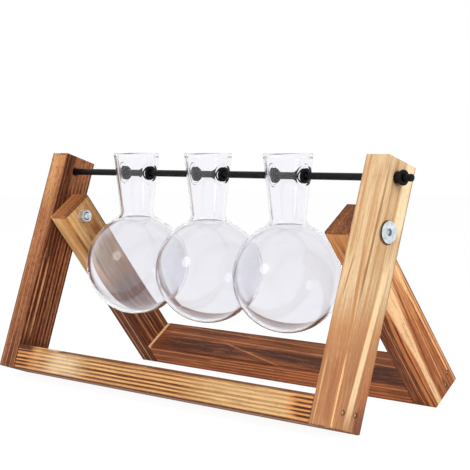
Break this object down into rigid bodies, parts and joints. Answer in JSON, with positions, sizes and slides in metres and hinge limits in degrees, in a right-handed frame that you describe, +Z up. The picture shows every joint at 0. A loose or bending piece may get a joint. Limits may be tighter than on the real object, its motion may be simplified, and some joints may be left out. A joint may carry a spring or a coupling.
{
  "type": "bulb vase with stand",
  "caption": "Round glass bulbs with flared necks that hang and swing on a black rod across a folding A-frame stand of burnt wooden bars, for cut stems or rooting plants.",
  "frame": {"origin": "on the table, in the middle of the stand's bounding box", "axes": "+X to the right along the hanging rod, +Y to the back towards the rear legs, +Z up"},
  "size_m": [0.3374, 0.1416, 0.1593],
  "materials": {
    "honey_wood": "burnt and brushed pine",
    "pale_wood": "lightly burnt and brushed pine",
    "red_wood": "burnt and brushed pine, red-brown",
    "dark_wood": "deeply burnt and brushed pine",
    "glass": "clear blown glass",
    "rubber": "matt black",
    "black_steel": "satin black",
    "zinc": "bright zinc plate",
    "nail_steel": "bare steel"
  },
  "bodies": {
    "front_frame": {"left_upright": "honey_wood", "right_upright": "pale_wood", "front_rail": "pale_wood", "left_front_nail_1": "nail_steel", "left_front_nail_2": "nail_steel", "right_front_nail_1": "nail_steel", "right_front_nail_2": "nail_steel", "left_pivot_bolt": "zinc", "right_pivot_bolt": "zinc", "left_nut_washer": "zinc", "right_nut_washer": "zinc", "left_pivot_nut": "zinc", "right_pivot_nut": "zinc", "hanging_rod": "black_steel", "left_rod_stop": "rubber", "right_rod_stop": "rubber"},
    "rear_frame": {"left_rear_leg": "honey_wood", "right_rear_leg": "red_wood", "rear_rail": "dark_wood", "left_rear_nail_1": "nail_steel", "left_rear_nail_2": "nail_steel", "right_rear_nail_1": "nail_steel", "right_rear_nail_2": "nail_steel"},
    "left_bulb": {"left_vase": "glass", "left_vase_left_grommet": "rubber", "left_vase_right_grommet": "rubber"},
    "middle_bulb": {"middle_vase": "glass", "middle_vase_left_grommet": "rubber", "middle_vase_right_grommet": "rubber"},
    "right_bulb": {"right_vase": "glass", "right_vase_left_grommet": "rubber", "right_vase_right_grommet": "rubber"}
  },
  "joints": [
    {"name": "stand_fold", "type": "hinge", "parent": "front_frame", "child": "rear_frame", "pos_m": [0, -0.02142, 0.1142], "axis": [1, 0, 0], "range_deg": [-40.5, 55]},
    {"name": "left_bulb_swing", "type": "hinge", "parent": "front_frame", "child": "left_bulb", "pos_m": [-0.0717, -0.01358, 0.14552], "axis": [1, 0, 0], "range_deg": [-110, 110]},
    {"name": "middle_bulb_swing", "type": "hinge", "parent": "front_frame", "child": "middle_bulb", "pos_m": [0, -0.01358, 0.14552], "axis": [1, 0, 0], "range_deg": [-110, 110]},
    {"name": "right_bulb_swing", "type": "hinge", "parent": "front_frame", "child": "right_bulb", "pos_m": [0.0717, -0.01358, 0.14552], "axis": [1, 0, 0], "range_deg": [-110, 110]}
  ]
}
